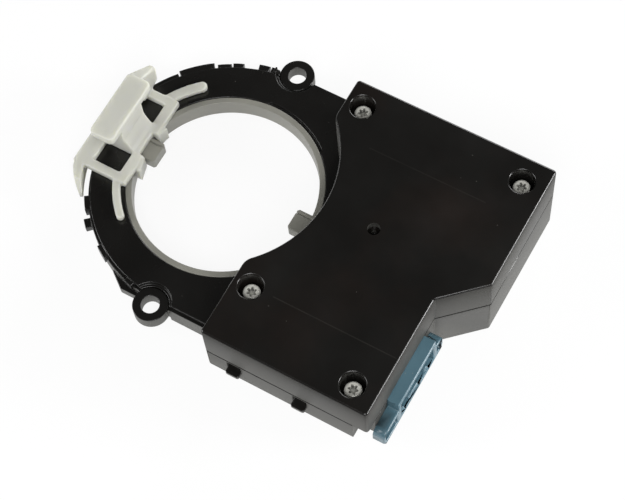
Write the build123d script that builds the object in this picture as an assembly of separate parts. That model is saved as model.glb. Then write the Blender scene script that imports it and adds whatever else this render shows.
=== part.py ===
"""Steering angle sensor: a geared rotor ring in a flat housing that drives two measuring gears.

Millimetres, +Z up. The origin is on the axis of the column bore, on the plane of the undersides of
the two mounting ears. +X runs from the ring to the box.
"""
import math
import os

from build123d import *

# Column bore and rotor ring
BORE_CLEAR_R = 24.3
ROTOR_WALL = 1.62
ROTOR_FIT = 0.08
ROTOR_BOTTOM_Z = -0.6
ROTOR_TOP_Z = 4.9
SKIRT_TOP_Z = 0.5
SKIRT_FIT = 0.2
FLANGE_BOTTOM_Z = 0.75
GEAR_MODULE = 0.7
ROTOR_TEETH = 90
TOOTH_PLAY = 0.16
GEAR_WIDTH = 2.3
LUG_REACH = 4.35
LUG_HALF_WIDTH = 3.0
LUG_BOTTOM_Z = 1.2
LUG_BEVEL = 0.5
LUG_ROOT = 0.3
LUG_SLOT_Y = 1.7
LUG_SLOT = 0.4
LUG_SLOT_DEEP = 0.5

# Ring trough of the lower housing and its snap cover
RUN_GAP = 0.3
TROUGH_BORE_SET = 0.9
TROUGH_BOTTOM_Z = -1.45
TROUGH_FLOOR_Z = 0.15
TROUGH_WALL = 1.9
TROUGH_GAP = 1.7
RING_SIDE_OUT = 0.6
COVER_SEAT_Z = 3.4
COVER_PLATE = 1.6
COVER_EDGE_SET = 0.7
TAB_SPANS = [(141.0, 153.4, 0.5), (125.2, 140.2, 1.1), (117.9, 123.9, 0.5), (112.6, 117.3, 0.7),
             (101.5, 106.3, 1.1), (97.7, 100.9, 1.1), (-147.5, -141.0, 0.9), (-123.9, -117.9, 0.6),
             (-104.6, -100.6, 0.6)]
TAB_DROP = 1.9
TAB_SET = 0.3
TAB_FIT = 0.08
SIDE_TAB = (17.2, 20.6)
SIDE_TAB_OUT = 0.35
FAR_EDGE = (-6.0, 16.6)
FAR_EDGE_OUT = 0.3
OPENING_STEP_SPAN = (50.0, 94.0)
OPENING_STEP = 0.7
OPENING_STEP_DEEP = 0.8
SIDE_FOOT_Z = -2.8
STOP_SPAN = (-139.0, -134.8)
STOP_REACH = 1.8
STOP_BOTTOM_Z = 0.2
STOP_TOP_Z = 2.4
SHOULDER_LONG = 10.0
SHOULDER_RUN = 4.5
SHOULDER_DROP = 3.4
SHOULDER_TOP_Z = 1.4

# Mounting ears
EAR_OUT = 1.6
EAR_HOLE_R = 2.4
EAR_R = 4.6
EAR_THICK = 4.0
EAR_WEB = 1.6
EAR_RELIEF = 1.0
EAR_FIT = 0.2
EAR_SEAT_R = 3.1

# Box of the housing, seen from above
BOX_LEFT_X = 20.75
BOX_RIGHT_X = 76.5
BOX_FAR_Y = 34.5
BOX_NEAR_Y = -43.7
BOX_STEP_X = 66.1
STEP_TOP_Y = -0.3
STEP_BOTTOM_Y = -10.1
BOX_ARC_SET = 1.2
BOX_CORNER_R = 0.9
BOX_ARC_END_R = 4.0
WALL = 1.8
TOP_Z = 23.34
PARTING_Z = 11.65
DEEP_BOTTOM_Z = -3.0
SHALLOW_BOTTOM_Z = 3.3
SHALLOW_Y = -36.0
NOTCH_X = 61.8
NOTCH_Y = -40.0
PARTING_GROOVE = 0.25
TOP_ROUND = 0.7
LIP_THICK = 0.6
LIP_HEIGHT = 1.0
LIP_ROOT = 1.2
LIP_FIT = 0.1
LIP_END_GAP = 0.4
SEAM_FIT = 0.05

# How far shapes of one moulding run into each other, and a cut runs past a face
FUSE = 0.5
PAST = 1.0

# Screws and their bosses
SCREW_SPOTS = [(25.6, 28.0), (70.2, 27.9), (25.6, -27.8), (59.4, -38.2)]
SCREW_R = 1.25
SCREW_LENGTH = 11.0
SCREW_HEAD_R = 2.2
SCREW_HEAD = 1.8
SCREW_HEAD_ROUND = 0.7
SCREW_SEAT_DEEP = 4.84
SCREW_DRIVE_R = 1.0
SCREW_DRIVE_DEEP = 1.0
SCREW_TIP_GAP = 0.4
COUNTERBORE_R = 3.2
SEAT_THICK = 2.0
BOSS_WALL = 1.4
POST_R = 3.0
POST_RISE = 2.35
HOLE_FIT = 0.2

# Moulded dimple in the middle of the box top
DIMPLE_X = 44.4
DIMPLE_Y = -0.5
DIMPLE_R = 1.64
DIMPLE_DEEP = 2.0
DIMPLE_HOLE_R = 0.6
DIMPLE_HOLE_DEEP = 1.2

# Small hooks under the parting line on the near side
HOOK_SPOTS = [28.8, 47.2]
HOOK_WIDTH = 3.8
HOOK_OUT = 1.5
HOOK_ROUND = 0.6
HOOK_BOTTOM_Z = 6.7
HOOK_TOP_Z = 7.9
HOOK_RECESS = 0.9
HOOK_RECESS_TALL = 2.9

# Measuring gears, their pins and magnets
PINION_TEETH = [26, 28]
PINION_Y = [11.0, -11.2]
PINION_PIN_R = 1.5
PINION_PIN_FIT = 0.05
PINION_PIN_TOP_Z = 6.2
PINION_PIN_ROOT = 2.2
PINION_PIN_CHAMFER = 0.25
PINION_END_GAP = 0.2
PIN_BOSS_R = 3.2
HUB_R = 4.4
HUB_FLOOR_Z = 7.0
MAGNET_R = 3.4
MAGNET_THICK = 2.4
CUP_DEEP = 2.2

# Circuit board and what stands on it
BOARD_RISE = 0.95
BOARD_THICK = 1.6
BOARD_EDGE_GAP = 0.3
BOARD_POSTS = [(36.0, 27.0), (60.0, 28.0), (36.0, -31.0), (50.0, -33.0)]
BOARD_POST_R = 2.0
PRESS_PIN_R = 1.5
POST_GAP = 0.6
CHIP_SIZE = (5.0, 6.0, 1.5)
CONTROLLER_SPOT = (56.0, 12.0)
CONTROLLER_SIZE = (10.0, 10.0, 1.4)
TRANSCEIVER_SPOT = (46.5, -19.0)
TRANSCEIVER_SIZE = (5.0, 6.2, 1.6)
REGULATOR_SPOT = (58.0, -4.0)
REGULATOR_SIZE = (6.6, 6.0, 2.3)
CRYSTAL_SPOT = (57.0, 21.5)
CRYSTAL_SIZE = (11.0, 4.6, 3.4)
CAPACITOR_SPOT = (45.0, -28.0)
CAPACITOR_R = 3.15
CAPACITOR_TALL = 5.4
CAPACITOR_BASE = 0.8
CAPACITOR_FOOT_EDGE = 0.1

# Connector
PLUG_FAR_Y = -15.1
PLUG_NEAR_Y = -33.9
PLUG_BOTTOM_Z = 1.5
PLUG_TOP_DROP = 0.25
PLUG_OUT = 3.3
PLUG_DEEP = 9.3
PLUG_WALL = 1.1
PLUG_BACK = 1.6
WING_FAR_Y = -11.6
WING_NEAR_Y = -41.7
WING_TOP_Z = 8.0
WING_SLOT_DEEP = 2.2
WING_WALL = 1.0
WING_END_R = 2.2
PLUG_FIT = 0.1
KEY_WIDTH = 5.0
KEY_TALL = 0.9
KEY_LENGTH = 3.4
KEY_SET = 0.6
FLOOR_RIBS = [(4.7, 1.6), (-1.7, 4.4), (-7.0, 1.0)]
FLOOR_RIB_TALL = 1.2
FLOOR_RIB_SET = 0.4
TERMINAL_COUNT = 6
TERMINAL_PITCH = 2.5
TERMINAL_SIDE = 0.64
TERMINAL_Z = 4.6
TERMINAL_RECESS = 2.2
TERMINAL_REACH = 2.2
TERMINAL_STICK = 0.7
TERMINAL_HOLE_R = 0.6

# Lock clip
CLIP_PLATE_GAP = 0.12
CLIP_PLATE = 2.15
CLIP_MIDDLE_Y = 0.87
CLIP_LEG_GAP = 1.4
CLIP_LEG_WALL = 1.0
CLIP_OUTER_BAR = 4.75
CLIP_INNER_SET = 1.9
CLIP_INNER_BAR = 3.0
CLIP_NOTCH = 1.4
CLIP_HALF_Y = 13.7
CLIP_STRUT = 2.5
CLIP_WEB_HALF = 4.9
CLIP_ARM_SETS = (2.0, 1.0)
CLIP_ARM_WIDTHS = (2.7, 2.1)
CLIP_ARM_ANGLE = 132.4
CLIP_ARM_THICK = 1.75
CLIP_LEG_BOTTOM_Z = 2.0
CLIP_FAR_LEG = [(0.0, 12.4), (1.0, 14.0), (2.4, 15.6), (4.0, 16.9), (5.6, 17.3)]
CLIP_NEAR_LEG = [(0.0, 13.0), (1.0, 15.4), (2.4, 17.4), (4.0, 19.2), (5.6, 20.6)]
CLIP_LEG_SLOPE = 3.2
CLIP_LEG_SLOPE_RUN = 2.6
CLIP_FIN = [(3.8, 9.6), (5.3, 17.3), (6.9, 17.3), (7.6, 11.7), (7.6, 9.6)]
CLIP_FIN_LOW_Z = 12.7
CLIP_FIN_HIGH_Z = 18.0
CLIP_FORK_PLAY = 0.45
CLIP_FORK_WIDTHS = (3.1, 4.2)
CLIP_FORK_DEEP = 1.7
CLIP_FORK_BOTTOM_Z = 1.3
CLIP_FORK_STEP = 0.6
CLIP_STEM_SET = 10.9
CLIP_STEM_DEEP = 4.9
CLIP_STEM_HALF = 4.9
GRIP_BOTTOM_Z = 16.5
GRIP_THICK = 2.5
GRIP_SET = 4.3
GRIP_WIDTH = 6.9
GRIP_HALF = 9.75
GRIP_SHIFT = 0.28
GRIP_CORNER_R = 1.4

# Sizes that follow from the ones above
ROTOR_OUTER_R = BORE_CLEAR_R + ROTOR_WALL
COVER_OPENING_R = ROTOR_OUTER_R + ROTOR_FIT
LUG_INNER_R = BORE_CLEAR_R - LUG_REACH
PITCH_R = GEAR_MODULE * ROTOR_TEETH / 2
TROUGH_BORE_R = BORE_CLEAR_R + TROUGH_BORE_SET
TROUGH_INNER_R = PITCH_R + GEAR_MODULE + TROUGH_GAP
TROUGH_OUTER_R = TROUGH_INNER_R + TROUGH_WALL
RING_SIDE_HALF = TROUGH_OUTER_R + RING_SIDE_OUT
EAR_Y = TROUGH_OUTER_R + EAR_OUT
COVER_R = TROUGH_OUTER_R - COVER_EDGE_SET
COVER_TOP_Z = COVER_SEAT_Z + COVER_PLATE
BOX_ARC_R = PITCH_R - BOX_ARC_SET
ARC_INNER_R = BOX_ARC_R + WALL
BOARD_BOTTOM_Z = PARTING_Z + BOARD_RISE
BOARD_TOP_Z = BOARD_BOTTOM_Z + BOARD_THICK
BOARD_INSET = WALL + LIP_FIT + LIP_THICK + BOARD_EDGE_GAP
LID_Z = TOP_Z - WALL
SCREW_SEAT_Z = TOP_Z - SCREW_SEAT_DEEP
POST_TOP_Z = PARTING_Z + POST_RISE
PLUG_TOP_Z = PARTING_Z - PLUG_TOP_DROP
PLUG_FRONT_X = BOX_STEP_X + PLUG_OUT
PLUG_MOUTH_FLOOR_X = PLUG_FRONT_X - PLUG_DEEP
PLUG_REAR_X = PLUG_MOUTH_FLOOR_X - PLUG_BACK
TERMINAL_X = PLUG_REAR_X - TERMINAL_REACH
CLIP_BOTTOM_Z = COVER_TOP_Z + CLIP_PLATE_GAP
CLIP_TOP_Z = CLIP_BOTTOM_Z + CLIP_PLATE
CLIP_LEG_R = TROUGH_OUTER_R + CLIP_LEG_GAP
CLIP_OUTER_X = -(CLIP_LEG_R + CLIP_LEG_WALL)
CLIP_INNER_X = -(BORE_CLEAR_R - CLIP_INNER_SET)
CLIP_STEM_X = CLIP_OUTER_X + CLIP_STEM_SET
GRIP_OUTER_X = CLIP_OUTER_X + GRIP_SET
PINION_R = [GEAR_MODULE * teeth / 2 for teeth in PINION_TEETH]
PINION_SPOTS = [(math.sqrt((PITCH_R + r) ** 2 - y ** 2), y) for r, y in zip(PINION_R, PINION_Y)]


def prism(face, low, high):
    return extrude(Pos(0, 0, low) * face, high - low, dir=(0, 0, 1))


def rect(x0, x1, y0, y1):
    return Polygon((x0, y0), (x1, y0), (x1, y1), (x0, y1), align=None)


def block(x0, x1, y0, y1, z0, z1):
    return prism(rect(x0, x1, y0, y1), z0, z1)


def rod(x, y, radius, z0, z1):
    return prism(Pos(x, y) * Circle(radius), z0, z1)


def wedge(start, end, reach):
    """A flat fan from the bore axis between two angles in degrees."""
    steps = max(2, int(abs(end - start) / 10) + 2)
    turns = [math.radians(start + (end - start) * i / (steps - 1)) for i in range(steps)]
    return Polygon((0, 0), *[(reach * math.cos(t), reach * math.sin(t)) for t in turns], align=None)


def arc_band(start, end, inner, outer):
    return (Circle(outer) - Circle(inner)) & wedge(start, end, 1.3 * outer)


def box_corners():
    return [(BOX_LEFT_X, BOX_FAR_Y), (BOX_LEFT_X, BOX_NEAR_Y), (BOX_STEP_X, BOX_NEAR_Y),
            (BOX_STEP_X, STEP_BOTTOM_Y), (BOX_RIGHT_X, STEP_TOP_Y), (BOX_RIGHT_X, BOX_FAR_Y)]


def box_face(inset):
    """The outline of the box from above, moved in by an inset all round."""
    face = Polygon(*box_corners(), align=None)
    if inset > 0:
        face = offset(face, -inset, kind=Kind.INTERSECTION)
    else:
        face = fillet(face.vertices(), BOX_CORNER_R)
    face -= Circle(BOX_ARC_R + inset)
    ends = [v for v in face.vertices() if abs(v.X - BOX_LEFT_X - inset) < 0.01 and abs(v.Y) < BOX_ARC_R]
    return fillet(ends, BOX_ARC_END_R - inset)


def tray_face(inset):
    """The outline of the lower half, which stops short of the near right corner."""
    corner = rect(NOTCH_X - inset, BOX_RIGHT_X, BOX_NEAR_Y - 1, NOTCH_Y + inset)
    return box_face(inset) - corner


def ring_face(radius, half_width, box_edge, reach):
    """The ring from above: a disc with straight sides that run to the box."""
    face = Circle(radius) + rect(0, box_edge, -half_width, half_width)
    beyond = rect(box_edge, 2 * BOX_RIGHT_X, -2 * half_width, 2 * half_width) - Circle(reach)
    return face - beyond


def gear_face(teeth, phase):
    """Toothed outline with flanks drawn from the involute of a 20 degree rack."""
    pitch_r = GEAR_MODULE * teeth / 2
    base_r = pitch_r * math.cos(math.radians(20))
    root_r = pitch_r - 1.25 * GEAR_MODULE
    tip_r = pitch_r + GEAR_MODULE
    half = math.pi / (2 * teeth) - TOOTH_PLAY / (2 * pitch_r)

    def roll(radius):
        if radius <= base_r:
            return 0.0
        lean = math.acos(base_r / radius)
        return math.tan(lean) - lean

    radii = [root_r, pitch_r - 0.5 * GEAR_MODULE, pitch_r, pitch_r + 0.5 * GEAR_MODULE, tip_r]
    sides = [(r, half + roll(pitch_r) - roll(r)) for r in radii]
    points = []
    for tooth in range(teeth):
        middle = math.radians(phase) + 2 * math.pi * tooth / teeth
        for r, lean in sides:
            points.append((r * math.cos(middle - lean), r * math.sin(middle - lean)))
        for r, lean in reversed(sides):
            points.append((r * math.cos(middle + lean), r * math.sin(middle + lean)))
    return Polygon(*points, align=None)


def pinion_phase(spot, teeth):
    """Turns a measuring gear so that one of its gaps faces the nearest rotor tooth."""
    towards = math.degrees(math.atan2(spot[1], spot[0]))
    rotor_step = 360 / ROTOR_TEETH
    lead = round(towards / rotor_step) * rotor_step - towards
    return towards + 180 - lead * ROTOR_TEETH / teeth + 180 / teeth


def only(shape):
    """The single solid of a finished piece."""
    solids = shape.solids()
    assert len(solids) == 1, len(solids)
    return solids[0]


def lower_housing():
    """Black moulded tray: ring trough, box floor and walls, ears, posts and hooks."""
    deep = rect(BOX_LEFT_X - 1, BOX_RIGHT_X + 1, SHALLOW_Y, BOX_FAR_Y + 1)
    deep_inside = rect(BOX_LEFT_X, BOX_RIGHT_X, SHALLOW_Y + WALL, BOX_FAR_Y)
    outer = tray_face(0)
    inner = tray_face(WALL)
    tray = prism(outer, SHALLOW_BOTTOM_Z, PARTING_Z) + prism(outer & deep, DEEP_BOTTOM_Z, SHALLOW_BOTTOM_Z)
    tray -= prism(inner, SHALLOW_BOTTOM_Z + WALL, PARTING_Z)
    tray -= prism(inner & deep_inside, DEEP_BOTTOM_Z + WALL, SHALLOW_BOTTOM_Z + WALL)
    groove = tray_face(0) - tray_face(PARTING_GROOVE)
    tray -= prism(groove, PARTING_Z - PARTING_GROOVE, PARTING_Z)
    lip = tray_face(WALL - FUSE) - tray_face(WALL + LIP_FIT + LIP_THICK)
    band = tray_face(WALL + LIP_FIT) - tray_face(WALL + LIP_FIT + LIP_THICK)
    skirt_clear = Circle(ARC_INNER_R + LIP_FIT + LIP_THICK + LIP_END_GAP)
    tray -= rod(0, 0, ARC_INNER_R + SEAM_FIT, TROUGH_FLOOR_Z, PARTING_Z)
    tray += prism(lip - skirt_clear, PARTING_Z - LIP_ROOT, PARTING_Z)
    tray += prism(band - skirt_clear, PARTING_Z, PARTING_Z + LIP_HEIGHT)

    ring = prism(ring_face(TROUGH_OUTER_R, RING_SIDE_HALF, BOX_LEFT_X + FUSE, ARC_INNER_R),
                 TROUGH_BOTTOM_Z, COVER_SEAT_Z)
    body = tray + ring
    for side in (1, -1):
        body += rod(0, side * EAR_Y, EAR_R, 0, EAR_THICK)
        web = block(-EAR_R, EAR_R, side * EAR_Y - EAR_WEB, side * EAR_Y + EAR_WEB, 0, COVER_SEAT_Z)
        body += web & rod(0, 0, TROUGH_OUTER_R + EAR_WEB, 0, COVER_SEAT_Z)
    stop = arc_band(*STOP_SPAN, TROUGH_OUTER_R - FUSE, TROUGH_OUTER_R + STOP_REACH)
    body += prism(stop, STOP_BOTTOM_Z, STOP_TOP_Z)
    for side in (1, -1):
        foot_y = sorted((side * RING_SIDE_HALF, side * (RING_SIDE_HALF - TROUGH_WALL)))
        body += block(EAR_R, BOX_LEFT_X + FUSE, *foot_y, SIDE_FOOT_Z, TROUGH_BOTTOM_Z + FUSE)
    shoulder_y = SHOULDER_DROP - RING_SIDE_HALF
    shoulder = Polygon((0, shoulder_y), (-SHOULDER_LONG - SHOULDER_RUN, shoulder_y),
                       (-SHOULDER_LONG, -RING_SIDE_HALF), (0, -RING_SIDE_HALF), align=None)
    body += prism(shoulder, TROUGH_BOTTOM_Z, SHOULDER_TOP_Z)
    body -= rod(0, 0, TROUGH_INNER_R, TROUGH_FLOOR_Z, COVER_SEAT_Z)
    body -= rod(0, 0, TROUGH_BORE_R, TROUGH_BOTTOM_Z - PAST, COVER_SEAT_Z)
    for side in (1, -1):
        body -= rod(0, side * EAR_Y, EAR_HOLE_R, TROUGH_BOTTOM_Z - PAST, EAR_THICK + PAST)
        body -= rod(0, side * EAR_Y, EAR_SEAT_R, TROUGH_BOTTOM_Z - PAST, 0)

    for x, y in SCREW_SPOTS:
        foot = SHALLOW_BOTTOM_Z if y < SHALLOW_Y else DEEP_BOTTOM_Z
        body += rod(x, y, POST_R, foot + FUSE, POST_TOP_Z) & prism(box_face(WALL), foot, POST_TOP_Z)
        tip = SCREW_SEAT_Z - SCREW_LENGTH
        body -= rod(x, y, SCREW_R, tip - SCREW_TIP_GAP, POST_TOP_Z + PAST)
    for x, y in BOARD_POSTS:
        body += rod(x, y, BOARD_POST_R, DEEP_BOTTOM_Z + FUSE, BOARD_BOTTOM_Z)
    for x, y in PINION_SPOTS:
        body += rod(x, y, PIN_BOSS_R, DEEP_BOTTOM_Z + FUSE, FLANGE_BOTTOM_Z - RUN_GAP)
        body -= rod(x, y, PINION_PIN_R, FLANGE_BOTTOM_Z - RUN_GAP - PINION_PIN_ROOT, FLANGE_BOTTOM_Z)

    body -= block(PLUG_REAR_X, BOX_STEP_X + PAST, PLUG_NEAR_Y - PLUG_FIT, PLUG_FAR_Y + PLUG_FIT,
                  PLUG_BOTTOM_Z - PLUG_FIT, PARTING_Z + LIP_HEIGHT + PAST)
    for x in HOOK_SPOTS:
        half = HOOK_WIDTH / 2
        body -= block(x - half, x + half, BOX_NEAR_Y - PAST, BOX_NEAR_Y + HOOK_RECESS,
                      HOOK_TOP_Z, HOOK_TOP_Z + HOOK_RECESS_TALL)
        hook = fillet(rect(x - half, x + half, BOX_NEAR_Y - HOOK_OUT, BOX_NEAR_Y + WALL).vertices(), HOOK_ROUND)
        body += prism(hook, HOOK_BOTTOM_Z, HOOK_TOP_Z)
    return only(body)


def upper_cover():
    """Black moulded lid of the box, with sunk screw seats and a skirt over the ring."""
    lid = prism(box_face(0), PARTING_Z, TOP_Z)
    lid = fillet(lid.faces().sort_by(Axis.Z)[-1].outer_wire().edges(), TOP_ROUND)
    lid -= prism(box_face(WALL), PARTING_Z, LID_Z)
    lid -= prism(box_face(0) - box_face(PARTING_GROOVE), PARTING_Z, PARTING_Z + PARTING_GROOVE)
    skirt = Circle(ARC_INNER_R) & box_face(0)
    lid += prism(skirt, COVER_TOP_Z + SEAM_FIT, PARTING_Z)
    inside = prism(box_face(FUSE), POST_TOP_Z, TOP_Z - FUSE)
    for x, y in SCREW_SPOTS:
        wide = rod(x, y, COUNTERBORE_R + BOSS_WALL, SCREW_SEAT_Z - SEAT_THICK, LID_Z + FUSE)
        slim = rod(x, y, POST_R, POST_TOP_Z, SCREW_SEAT_Z)
        lid += (wide + slim) & inside
        lid -= rod(x, y, COUNTERBORE_R, SCREW_SEAT_Z, TOP_Z + PAST)
        lid -= rod(x, y, SCREW_R + HOLE_FIT, POST_TOP_Z - PAST, TOP_Z)
    for x, y in BOARD_POSTS:
        lid += rod(x, y, PRESS_PIN_R, BOARD_TOP_Z, LID_Z + FUSE)
    floor_z = TOP_Z - DIMPLE_DEEP
    hole_z = floor_z - DIMPLE_HOLE_DEEP
    lid += rod(DIMPLE_X, DIMPLE_Y, DIMPLE_R + BOSS_WALL, hole_z - BOSS_WALL, LID_Z + FUSE)
    lid -= rod(DIMPLE_X, DIMPLE_Y, DIMPLE_R, floor_z, TOP_Z + PAST)
    lid -= rod(DIMPLE_X, DIMPLE_Y, DIMPLE_HOLE_R, hole_z, TOP_Z)
    return only(lid)


def ring_cover():
    """Black moulded snap cover over the rotor gear."""
    face = ring_face(COVER_R, RING_SIDE_HALF - COVER_EDGE_SET, BOX_LEFT_X - SEAM_FIT, ARC_INNER_R - SEAM_FIT)
    cover = prism(face, COVER_SEAT_Z, COVER_TOP_Z)
    for start, end, reach in TAB_SPANS:
        outer = TROUGH_OUTER_R + reach
        cover += prism(arc_band(start, end, COVER_R - FUSE, outer), COVER_SEAT_Z, COVER_TOP_Z - TAB_SET)
        cover += prism(arc_band(start, end, TROUGH_OUTER_R + TAB_FIT, outer), COVER_SEAT_Z - TAB_DROP,
                       COVER_SEAT_Z)
    side_y = RING_SIDE_HALF - COVER_EDGE_SET
    cover += block(*SIDE_TAB, side_y - FUSE, RING_SIDE_HALF + SIDE_TAB_OUT, COVER_SEAT_Z, COVER_TOP_Z)
    cover += block(*FAR_EDGE, side_y - FUSE, RING_SIDE_HALF + FAR_EDGE_OUT, COVER_SEAT_Z, COVER_TOP_Z)
    for side in (1, -1):
        cover -= rod(0, side * EAR_Y, EAR_R + EAR_FIT, 0, COVER_TOP_Z + PAST)
        cover -= rod(0, side * EAR_Y, EAR_R + EAR_RELIEF, EAR_THICK, COVER_TOP_Z + PAST)
    cover -= rod(0, 0, COVER_OPENING_R, 0, COVER_TOP_Z + PAST)
    step = arc_band(*OPENING_STEP_SPAN, COVER_OPENING_R - FUSE, COVER_OPENING_R + OPENING_STEP)
    cover -= prism(step, COVER_TOP_Z - OPENING_STEP_DEEP, COVER_TOP_Z + PAST)
    return only(cover)


def rotor_ring():
    """Grey moulded rotor: sleeve around the column, toothed flange and two driving lugs."""
    sleeve = Circle(ROTOR_OUTER_R) - Circle(BORE_CLEAR_R)
    rotor = prism(sleeve, SKIRT_TOP_Z, ROTOR_TOP_Z)
    skirt = Circle(TROUGH_BORE_R - SKIRT_FIT) - Circle(BORE_CLEAR_R)
    rotor += prism(skirt, ROTOR_BOTTOM_Z, SKIRT_TOP_Z)
    toothed = gear_face(ROTOR_TEETH, 0) - Circle(BORE_CLEAR_R + FUSE)
    rotor += prism(toothed, FLANGE_BOTTOM_Z, FLANGE_BOTTOM_Z + GEAR_WIDTH)
    for side in (1, -1):
        inner = side * LUG_INNER_R
        corner = side * (LUG_INNER_R + LUG_BEVEL)
        root = side * (BORE_CLEAR_R + LUG_ROOT)
        lug = Polygon((root, -LUG_HALF_WIDTH), (corner, -LUG_HALF_WIDTH), (inner, LUG_BEVEL - LUG_HALF_WIDTH),
                      (inner, LUG_HALF_WIDTH - LUG_BEVEL), (corner, LUG_HALF_WIDTH),
                      (root, LUG_HALF_WIDTH), align=None)
        rotor += prism(lug, LUG_BOTTOM_Z, ROTOR_TOP_Z)
        rotor -= block(*sorted((inner - side * PAST, root)), LUG_SLOT_Y, LUG_SLOT_Y + LUG_SLOT,
                       ROTOR_TOP_Z - LUG_SLOT_DEEP, ROTOR_TOP_Z + PAST)
    return only(rotor)


def measuring_gear(index):
    """Small moulded gear with a cup on its hub for the magnet."""
    x, y = PINION_SPOTS[index]
    teeth = PINION_TEETH[index]
    face = gear_face(teeth, pinion_phase((x, y), teeth))
    gear = Pos(x, y) * prism(face, FLANGE_BOTTOM_Z, FLANGE_BOTTOM_Z + GEAR_WIDTH)
    gear += rod(x, y, HUB_R, FLANGE_BOTTOM_Z, HUB_FLOOR_Z + CUP_DEEP)
    gear -= rod(x, y, MAGNET_R, HUB_FLOOR_Z, HUB_FLOOR_Z + CUP_DEEP + PAST)
    gear -= rod(x, y, PINION_PIN_R + PINION_PIN_FIT, FLANGE_BOTTOM_Z - PAST, PINION_PIN_TOP_Z + PINION_END_GAP)
    return only(gear)


def gear_pin(index):
    """Steel pin pressed into the floor, on which a measuring gear turns."""
    x, y = PINION_SPOTS[index]
    pin = rod(x, y, PINION_PIN_R, FLANGE_BOTTOM_Z - RUN_GAP - PINION_PIN_ROOT, PINION_PIN_TOP_Z)
    return only(chamfer(pin.faces().sort_by(Axis.Z)[-1].edges(), PINION_PIN_CHAMFER))


def magnet(index):
    """Round magnet seated in the cup of a measuring gear."""
    x, y = PINION_SPOTS[index]
    return only(rod(x, y, MAGNET_R, HUB_FLOOR_Z, HUB_FLOOR_Z + MAGNET_THICK))


def circuit_board():
    """Glass-fibre board, clamped between the posts of the two housing halves."""
    face = tray_face(BOARD_INSET) - Circle(ARC_INNER_R + LIP_FIT + LIP_THICK + BOARD_EDGE_GAP)
    for x, y in SCREW_SPOTS:
        face -= Pos(x, y) * Circle(POST_R + POST_GAP)
    board = prism(face, BOARD_BOTTOM_Z, BOARD_TOP_Z)
    for y in terminal_rows():
        board -= rod(TERMINAL_X, y, TERMINAL_HOLE_R, BOARD_BOTTOM_Z - PAST, BOARD_TOP_Z + PAST)
    return board.solids().sort_by(SortBy.VOLUME)[-1]


def part_on_board(spot, size):
    x, y = spot
    length, width, tall = size
    return only(block(x - length / 2, x + length / 2, y - width / 2, y + width / 2,
                      BOARD_TOP_Z, BOARD_TOP_Z + tall))


def sensor_chip(index):
    """Angle sensor under the board, over the magnet of a measuring gear."""
    x, y = PINION_SPOTS[index]
    length, width, tall = CHIP_SIZE
    return only(block(x - length / 2, x + length / 2, y - width / 2, y + width / 2,
                      BOARD_BOTTOM_Z - tall, BOARD_BOTTOM_Z))


def capacitor():
    """Aluminium can on a square moulded foot."""
    x, y = CAPACITOR_SPOT
    half = CAPACITOR_R + CAPACITOR_FOOT_EDGE
    foot = block(x - half, x + half, y - half, y + half, BOARD_TOP_Z, BOARD_TOP_Z + CAPACITOR_BASE)
    can = rod(x, y, CAPACITOR_R, BOARD_TOP_Z, BOARD_TOP_Z + CAPACITOR_TALL)
    return only(foot + can)


def terminal_rows():
    middle = (PLUG_FAR_Y + PLUG_NEAR_Y) / 2
    first = middle - TERMINAL_PITCH * (TERMINAL_COUNT - 1) / 2
    return [first + TERMINAL_PITCH * i for i in range(TERMINAL_COUNT)]


def connector_shell():
    """Blue moulded connector: mouth with a key, back wall and a low wing at each end."""
    shell = block(PLUG_REAR_X, PLUG_FRONT_X, PLUG_NEAR_Y, PLUG_FAR_Y, PLUG_BOTTOM_Z, PLUG_TOP_Z)
    wings = rect(WING_NEAR_Y, WING_FAR_Y, PLUG_BOTTOM_Z, WING_TOP_Z)
    wings = fillet(wings.vertices(), WING_END_R)
    across = Plane(origin=(BOX_STEP_X + SEAM_FIT, 0, 0), x_dir=(0, 1, 0), z_dir=(1, 0, 0))
    shell += extrude(across * wings, PLUG_OUT - SEAM_FIT, dir=(1, 0, 0))
    shell -= block(PLUG_MOUTH_FLOOR_X, PLUG_FRONT_X + PAST, PLUG_NEAR_Y + PLUG_WALL, PLUG_FAR_Y - PLUG_WALL,
                   PLUG_BOTTOM_Z + PLUG_WALL, PLUG_TOP_Z - PLUG_WALL)
    middle = (PLUG_FAR_Y + PLUG_NEAR_Y) / 2
    key_end = PLUG_FRONT_X - KEY_SET
    shell += block(key_end - KEY_LENGTH, key_end, middle - KEY_WIDTH / 2, middle + KEY_WIDTH / 2,
                   PLUG_TOP_Z - PLUG_WALL - KEY_TALL, PLUG_TOP_Z)
    for offset_y, width in FLOOR_RIBS:
        shell += block(PLUG_MOUTH_FLOOR_X - FUSE, PLUG_FRONT_X - FLOOR_RIB_SET, middle + offset_y - width / 2,
                       middle + offset_y + width / 2, PLUG_BOTTOM_Z, PLUG_BOTTOM_Z + PLUG_WALL + FLOOR_RIB_TALL)
    near_slot = (WING_NEAR_Y + WING_WALL, PLUG_NEAR_Y - WING_WALL)
    far_slot = (PLUG_FAR_Y + WING_WALL / 2, WING_FAR_Y - WING_WALL)
    for low, high in (near_slot, far_slot):
        shell -= block(PLUG_FRONT_X - WING_SLOT_DEEP, PLUG_FRONT_X + PAST, low, high,
                       PLUG_BOTTOM_Z + WING_WALL, WING_TOP_Z - WING_WALL)
    side = TERMINAL_SIDE / 2
    for y in terminal_rows():
        shell -= block(PLUG_REAR_X - PAST, PLUG_MOUTH_FLOOR_X + PAST, y - side, y + side,
                       TERMINAL_Z - side, TERMINAL_Z + side)
    return only(shell)


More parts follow.
